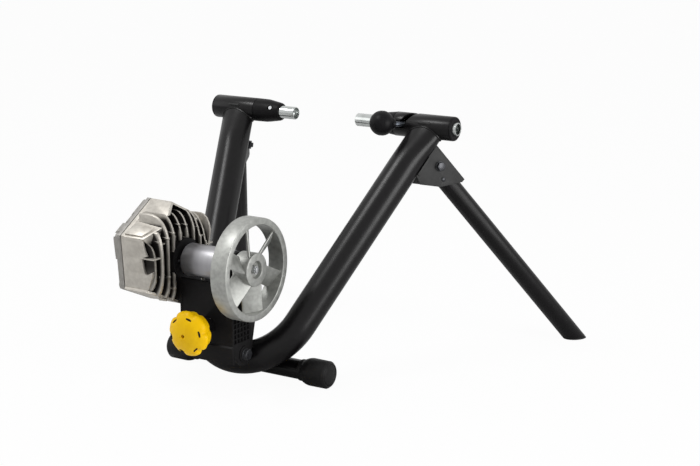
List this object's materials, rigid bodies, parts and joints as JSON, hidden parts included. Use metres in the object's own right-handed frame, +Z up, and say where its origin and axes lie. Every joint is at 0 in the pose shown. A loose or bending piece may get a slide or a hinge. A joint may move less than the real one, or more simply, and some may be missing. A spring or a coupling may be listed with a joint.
{
  "type": "bicycle trainer with fluid resistance unit",
  "caption": "Folding stand that clamps a bicycle's rear axle and presses its tyre on a roller with a flywheel and a finned fluid resistance unit.",
  "frame": {"origin": "on the floor, at the centre of the unfolded trainer's box, left to right and front to back", "axes": "+X to the side with the cam lever and flywheel (the rider's right), +Y forward to the feet of the folding legs, +Z up"},
  "size_m": [0.7216, 0.626, 0.3936],
  "materials": {
    "frame_paint": "gloss black powder coat",
    "leg_paint": "gloss black powder coat",
    "black_plastic": "moulded black nylon",
    "yoke_plastic": "glass-filled black nylon, fine texture",
    "bright_steel": "bright plated steel",
    "roller_steel": "machined steel",
    "dark_steel": "black oxide steel",
    "housing_metal": "die-cast, satin",
    "flywheel_metal": "cast, satin, with a turned rim",
    "foot_rubber": "black rubber",
    "bushing_brass": "plain bronze",
    "knob_yellow": "bright yellow moulded plastic"
  },
  "bodies": {
    "frame": {"clutch_bracket": "frame_paint", "clutch_trunnion": "bright_steel", "cross_tube": "frame_paint", "left_boot": "foot_rubber", "left_end_cap": "black_plastic", "left_head_tube": "frame_paint", "left_leg_bolt": "dark_steel", "left_leg_bracket": "frame_paint", "left_leg_nut": "dark_steel", "left_leg_rivet": "dark_steel", "left_lock_pin": "dark_steel", "left_nose_sleeve": "black_plastic", "main_tube": "frame_paint", "pivot_bolt": "dark_steel", "pivot_boss": "frame_paint", "pivot_nut": "dark_steel", "right_boot": "foot_rubber", "right_end_bushing": "black_plastic", "right_head_tube": "frame_paint", "right_leg_bolt": "dark_steel", "right_leg_bracket": "frame_paint", "right_leg_nut": "dark_steel", "right_leg_rivet": "dark_steel", "right_nose_sleeve": "black_plastic"},
    "left_leg": {"left_leg_tube": "leg_paint", "left_leg_foot": "foot_rubber", "left_leg_bushing": "bushing_brass"},
    "right_leg": {"right_leg_tube": "leg_paint", "right_leg_foot": "foot_rubber", "right_leg_bushing": "bushing_brass"},
    "resistance_unit": {"yoke": "yoke_plastic", "unit_housing": "housing_metal", "unit_cover": "housing_metal", "unit_gasket": "foot_rubber", "cover_screw_1": "bright_steel", "cover_screw_2": "bright_steel", "cover_screw_3": "bright_steel", "cover_screw_4": "bright_steel", "mount_screw_1": "bright_steel", "mount_screw_2": "bright_steel", "mount_screw_3": "bright_steel", "shaft_seal": "foot_rubber", "left_bearing": "bright_steel", "right_bearing": "bright_steel", "left_pivot_bushing": "black_plastic", "right_pivot_bushing": "black_plastic", "clutch_spring": "bright_steel"},
    "rotor": {"shaft": "bright_steel", "roller": "roller_steel", "flywheel": "flywheel_metal", "flywheel_nut": "dark_steel", "impeller": "housing_metal"},
    "clutch_carriage": {"clutch_seat": "black_plastic"},
    "clutch_knob": {"clutch_knob": "knob_yellow", "clutch_screw": "bright_steel"},
    "axle_guide": {"right_axle_guide": "black_plastic"},
    "right_axle": {"right_axle": "bright_steel", "lever_rod": "dark_steel", "lever_ball": "black_plastic"},
    "left_axle": {"left_axle": "bright_steel"}
  },
  "joints": [
    {"name": "right_leg_fold", "type": "hinge", "parent": "frame", "child": "right_leg", "pos_m": [0.1911, 0.08388, 0.3074], "axis": [-0.8694, 0.4837, -0.1005], "range_deg": [0, 70]},
    {"name": "left_leg_fold", "type": "hinge", "parent": "frame", "child": "left_leg", "pos_m": [-0.1911, 0.08388, 0.3074], "axis": [-0.8694, -0.4837, 0.1005], "range_deg": [0, 70]},
    {"name": "unit_tilt", "type": "hinge", "parent": "frame", "child": "resistance_unit", "pos_m": [0, -0.22172, 0.056], "axis": [-1, 0, 0], "range_deg": [-6, 6]},
    {"name": "rotor_spin", "type": "hinge", "parent": "resistance_unit", "child": "rotor", "pos_m": [0, -0.23632, 0.1927], "axis": [1, 0, 0], "continuous": true},
    {"name": "clutch_travel", "type": "slide", "parent": "frame", "child": "clutch_carriage", "axis": [0, 0.9976, 0.0698], "range_m": [-0.0048, 0.0048]},
    {"name": "clutch_turn", "type": "hinge", "parent": "clutch_carriage", "child": "clutch_knob", "pos_m": [0, -0.24922, 0.10173], "axis": [0, 0.9976, 0.0698], "range_deg": [-420, 420]},
    {"name": "right_axle_slide", "type": "slide", "parent": "frame", "child": "axle_guide", "axis": [1, 0, 0], "range_m": [0, 0.0211]},
    {"name": "lever_turn", "type": "hinge", "parent": "axle_guide", "child": "right_axle", "pos_m": [0, 0.08378, 0.3683], "axis": [-1, 0, 0], "range_deg": [0, 104]},
    {"name": "left_axle_adjust", "type": "slide", "parent": "frame", "child": "left_axle", "axis": [1, 0, 0], "range_m": [-0.015, 0.01]}
  ],
  "couplings": [
    {"joint": "clutch_travel", "follows": "unit_tilt", "m_per_rad": 0.0425},
    {"joint": "clutch_turn", "follows": "unit_tilt", "ratio": 66.8},
    {"joint": "lever_turn", "follows": "right_axle_slide", "rad_per_m": 85.95}
  ]
}
